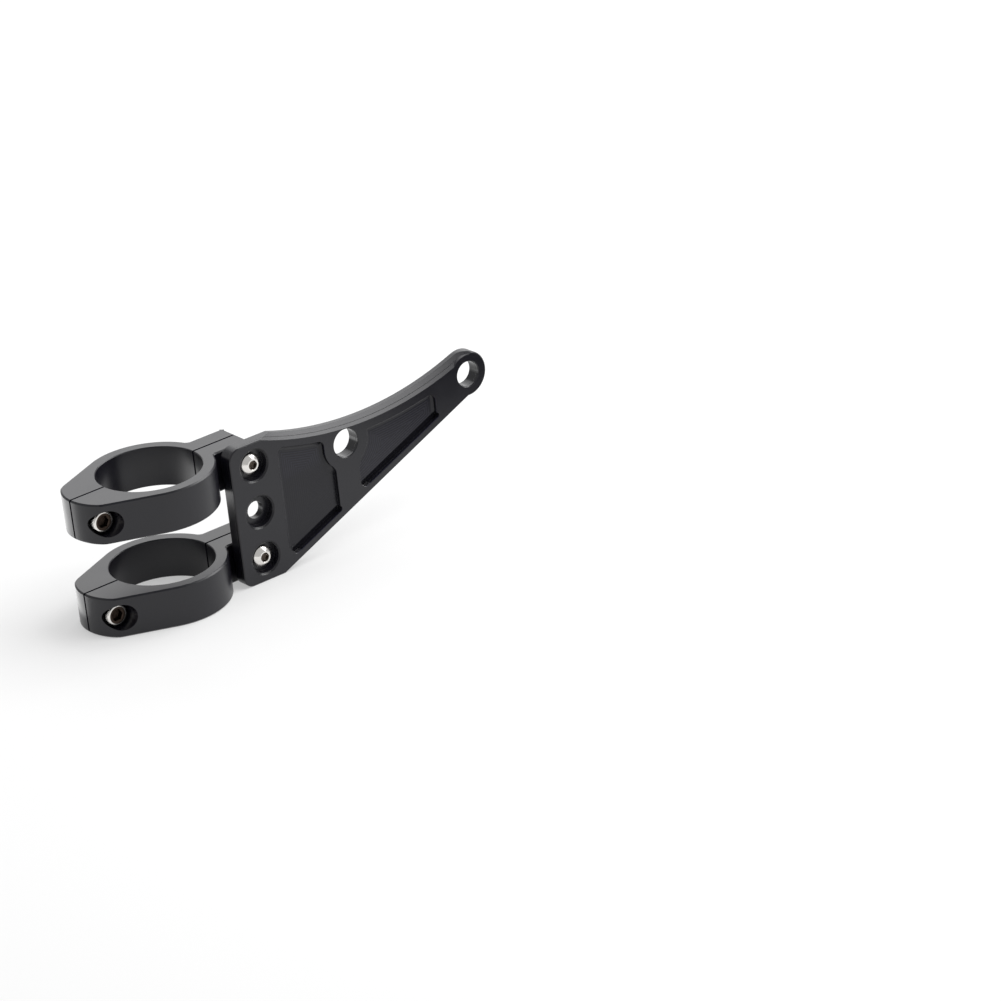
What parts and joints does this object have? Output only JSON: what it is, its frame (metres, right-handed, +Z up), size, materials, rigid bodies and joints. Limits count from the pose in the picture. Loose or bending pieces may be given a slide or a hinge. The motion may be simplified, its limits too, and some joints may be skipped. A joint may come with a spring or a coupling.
{
  "type": "headlight mounting bracket",
  "caption": "Black machined aluminium headlight bracket: split fork clamps carry a cut-away arm plate that ends in an eye for the headlight bolt.",
  "frame": {"origin": "on the fork leg's axis, at the lower face of the lower clamp", "axes": "+Z up along the fork leg, +X from the clamp noses towards the tip of the arm, +Y from the plate's outer face towards the rear clamp halves"},
  "size_m": [0.2235, 0.061, 0.0711],
  "materials": {
    "black_aluminium": "satin black anodised",
    "stainless_steel": "bright"
  },
  "bodies": {
    "root": {"arm_plate": "black_aluminium", "upper_clamp_front": "black_aluminium", "upper_clamp_rear": "black_aluminium", "lower_clamp_front": "black_aluminium", "lower_clamp_rear": "black_aluminium", "upper_clamp_screw": "stainless_steel", "lower_clamp_screw": "stainless_steel", "upper_plate_screw": "stainless_steel", "lower_plate_screw": "stainless_steel"}
  },
  "joints": []
}
